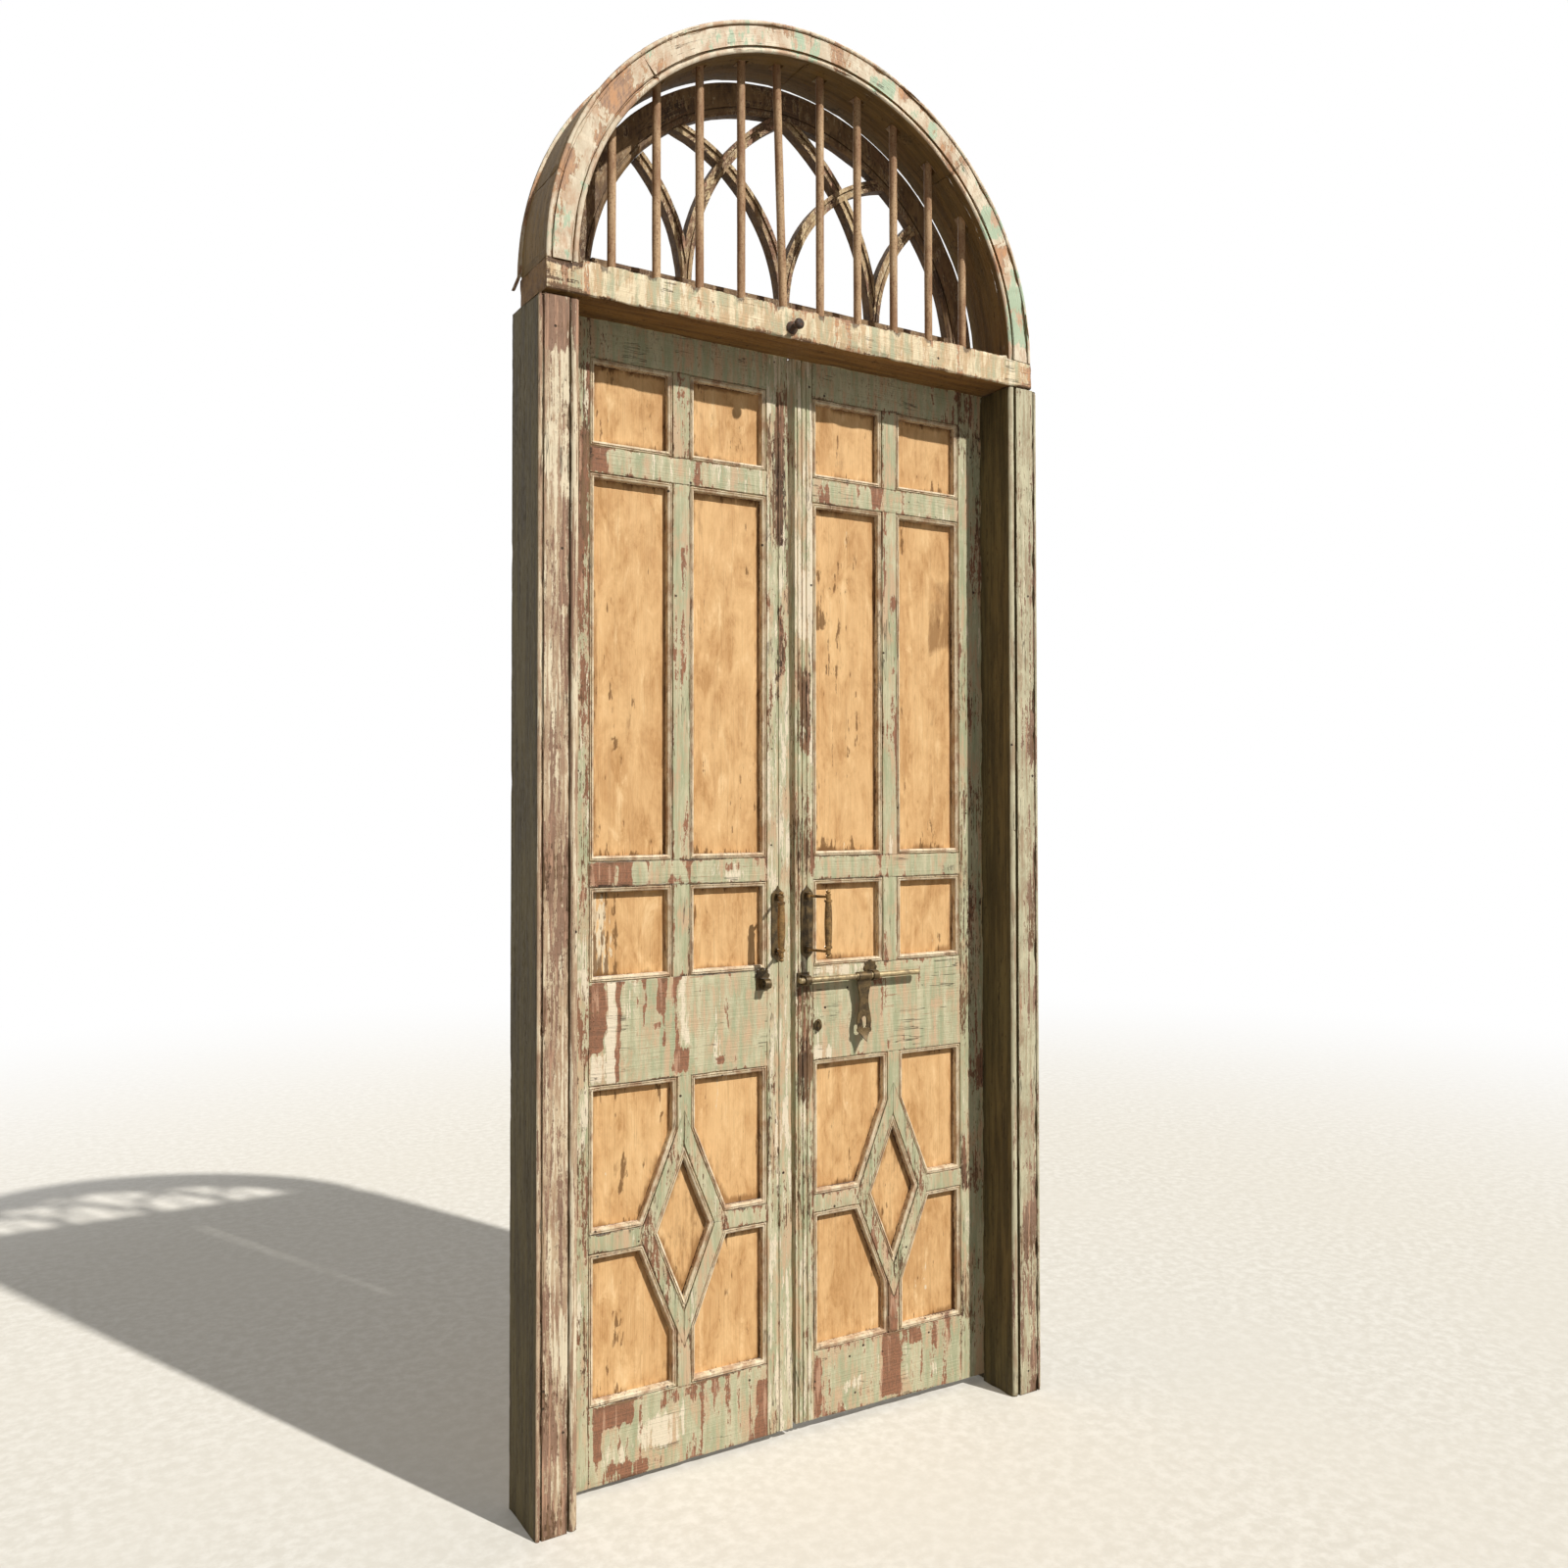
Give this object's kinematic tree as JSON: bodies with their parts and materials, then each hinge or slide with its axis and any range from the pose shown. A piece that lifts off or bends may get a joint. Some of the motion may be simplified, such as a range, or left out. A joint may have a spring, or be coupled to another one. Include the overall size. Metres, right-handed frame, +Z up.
{
  "type": "arched double door with frame",
  "caption": "Tall arched double-leaf wooden door in its frame, with a barred and latticed fanlight, panelled leaves with diamond frames, swinging pulls and a sliding hasp bolt.",
  "frame": {"origin": "on the floor line, at mid width of the arch, in the plane of the frame's front face", "axes": "+X to the right seen from the front, +Y from the front face into the wall, +Z up"},
  "size_m": [1.213, 0.1855, 2.952],
  "materials": {
    "jamb_paint": "worn paint",
    "transom_paint": "worn paint",
    "arch_paint": "worn paint",
    "leaf_paint": "worn paint",
    "panel_wood": "matt bare wood",
    "sash_wood": "worn paint",
    "bar_iron": "rusted paint",
    "forged_iron": "rusty",
    "hinge_iron": "rusty",
    "aged_brass": "aged, tarnished"
  },
  "bodies": {
    "frame": {"transom": "transom_paint", "transom_spike": "forged_iron", "arch_back_band": "arch_paint", "fanlight_bars": "bar_iron", "sash_ring_left": "sash_wood", "sash_ring_crown": "sash_wood", "sash_ring_right": "sash_wood", "sash_bottom_rail": "sash_wood", "tracery_long_arcs": "sash_wood", "tracery_middle_arcs": "sash_wood", "tracery_side_arcs": "sash_wood", "frame_hinge_flaps": "hinge_iron", "hinge_pins": "hinge_iron", "arch_segment_1": "arch_paint", "arch_segment_2": "arch_paint", "arch_segment_3": "arch_paint", "arch_segment_4": "arch_paint", "arch_segment_5": "arch_paint", "left_jamb": "jamb_paint", "right_jamb": "jamb_paint"},
    "left_leaf": {"left_hinge_stile": "leaf_paint", "left_meeting_stile": "leaf_paint", "left_top_rail": "leaf_paint", "left_frieze_rail": "leaf_paint", "left_middle_rail": "leaf_paint", "left_lock_rail": "leaf_paint", "left_bottom_rail": "leaf_paint", "left_muntins": "leaf_paint", "left_diamond_frame": "leaf_paint", "left_top_panels": "panel_wood", "left_tall_panels": "panel_wood", "left_small_panels": "panel_wood", "left_corner_panels": "panel_wood", "left_diamond_panel": "panel_wood", "left_hinge_flaps": "hinge_iron", "left_pull_plate": "aged_brass", "bolt_keeper": "aged_brass"},
    "right_leaf": {"right_hinge_stile": "leaf_paint", "right_meeting_stile": "leaf_paint", "right_top_rail": "leaf_paint", "right_frieze_rail": "leaf_paint", "right_middle_rail": "leaf_paint", "right_lock_rail": "leaf_paint", "right_bottom_rail": "leaf_paint", "right_muntins": "leaf_paint", "right_diamond_frame": "leaf_paint", "right_top_panels": "panel_wood", "right_tall_panels": "panel_wood", "right_small_panels": "panel_wood", "right_corner_panels": "panel_wood", "right_diamond_panel": "panel_wood", "right_hinge_flaps": "hinge_iron", "right_pull_plate": "aged_brass", "bolt_brackets": "aged_brass", "hasp_staple": "aged_brass"},
    "left_pull": {"left_pull_bail": "aged_brass"},
    "right_pull": {"right_pull_bail": "aged_brass"},
    "bolt": {"bolt_rod": "aged_brass"},
    "hasp": {"bolt_hasp": "aged_brass"}
  },
  "joints": [
    {"name": "left_leaf_hinge", "type": "hinge", "parent": "frame", "child": "left_leaf", "pos_m": [-0.531, 0.1455, 1.205], "axis": [0, 0, 1], "range_deg": [0, 100]},
    {"name": "right_leaf_hinge", "type": "hinge", "parent": "frame", "child": "right_leaf", "pos_m": [0.531, 0.1455, 1.205], "axis": [0, 0, -1], "range_deg": [0, 100]},
    {"name": "left_pull_swing", "type": "hinge", "parent": "left_leaf", "child": "left_pull", "pos_m": [-0.032, 0.093, 1.081], "axis": [0, 0, 1], "range_deg": [-47, 48]},
    {"name": "right_pull_swing", "type": "hinge", "parent": "right_leaf", "child": "right_pull", "pos_m": [0.041, 0.093, 1.081], "axis": [0, 0, 1], "range_deg": [-41, 54]},
    {"name": "bolt_slide", "type": "slide", "parent": "right_leaf", "child": "bolt", "axis": [1, 0, 0], "range_m": [-0.108, 0]},
    {"name": "hasp_swing", "type": "hinge", "parent": "bolt", "child": "hasp", "pos_m": [0.177, 0.086, 0.96], "axis": [1, 0, 0], "range_deg": [-95, 6]}
  ]
}
